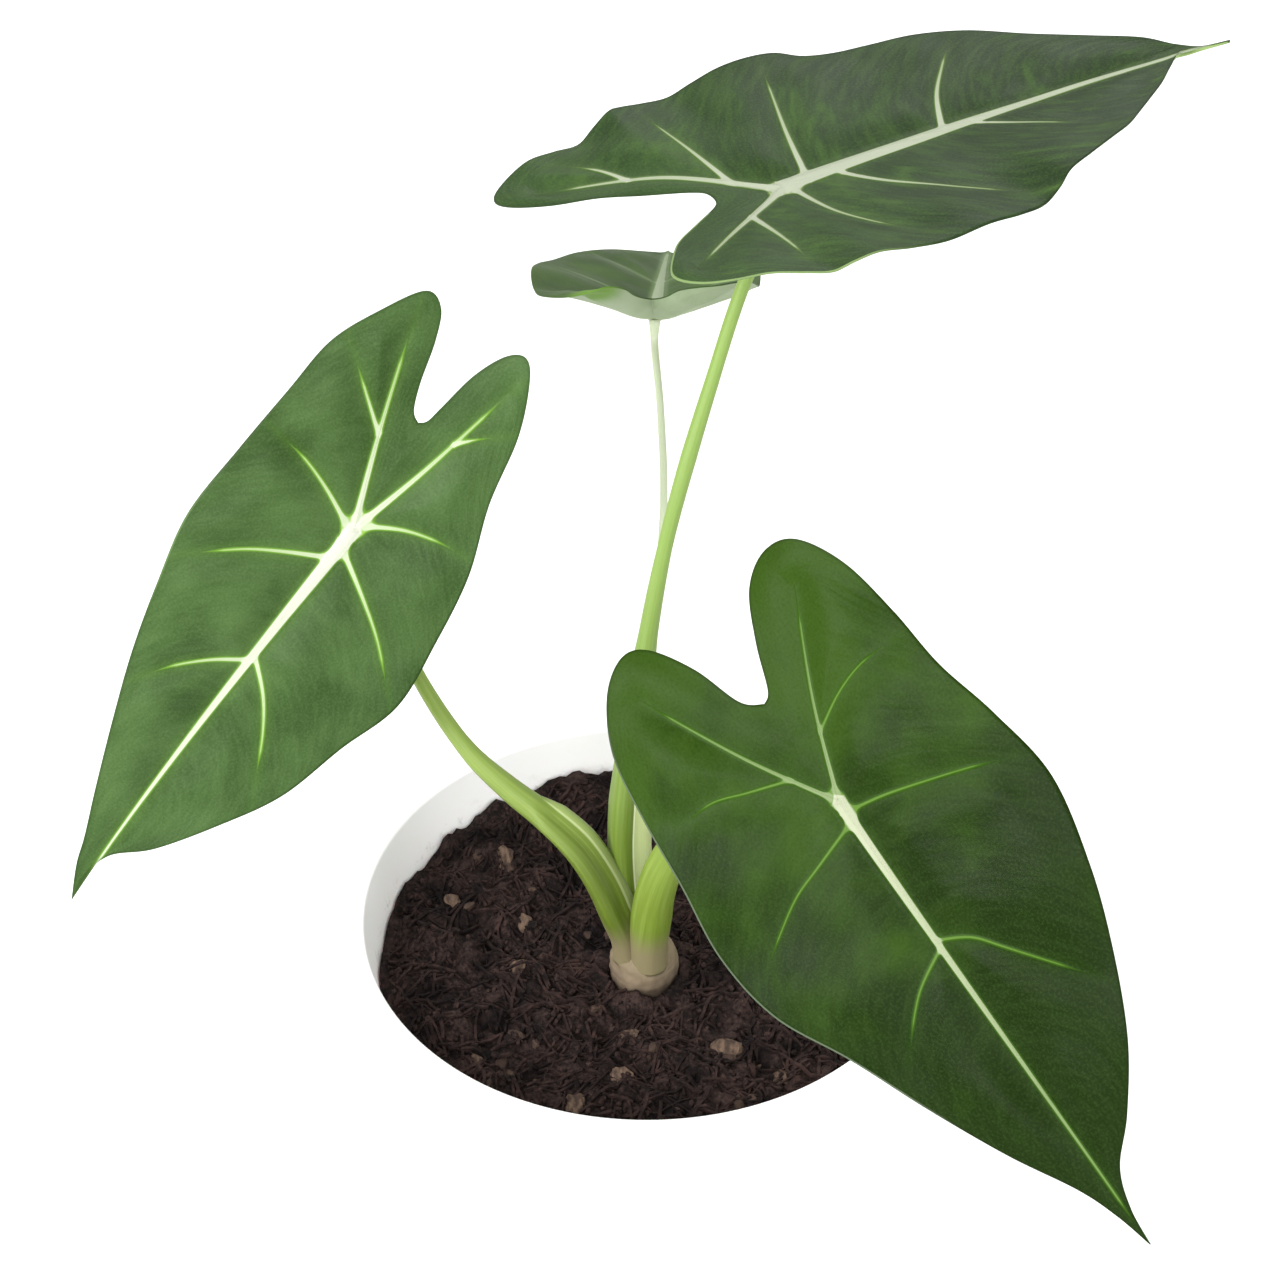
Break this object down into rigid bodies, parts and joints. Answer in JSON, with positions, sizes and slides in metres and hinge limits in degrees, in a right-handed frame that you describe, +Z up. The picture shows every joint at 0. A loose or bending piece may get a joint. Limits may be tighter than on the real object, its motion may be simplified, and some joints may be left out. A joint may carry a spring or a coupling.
{
  "type": "potted frydek alocasia",
  "caption": "Potted arrow-leaf aroid: drooping velvety blades with pale raised ribs on leaning stalks, a short corm, soil and a round tapered pot.",
  "frame": {"origin": "centre of the flat underside of the pot, on the surface it rests on", "axes": "+Z up along the pot's axis, +X to the right and -Y towards the viewer of the picture; the top leaf's tip points to +X and +Y"},
  "size_m": [0.2901, 0.3345, 0.3247],
  "materials": {
    "pot_plastic": "satin",
    "soil": "rough",
    "corm_skin": "rough",
    "stalk": "satin",
    "blade": "velvety",
    "rib": "satin"
  },
  "bodies": {
    "root": {"pot": "pot_plastic", "soil": "soil", "corm": "corm_skin", "left_stalk": "stalk", "top_stalk": "stalk", "back_stalk": "stalk", "right_stalk": "stalk", "left_blade": "blade", "left_ribs": "rib", "top_blade": "blade", "top_ribs": "rib", "back_blade": "blade", "back_ribs": "rib", "right_blade": "blade", "right_ribs": "rib"}
  },
  "joints": []
}
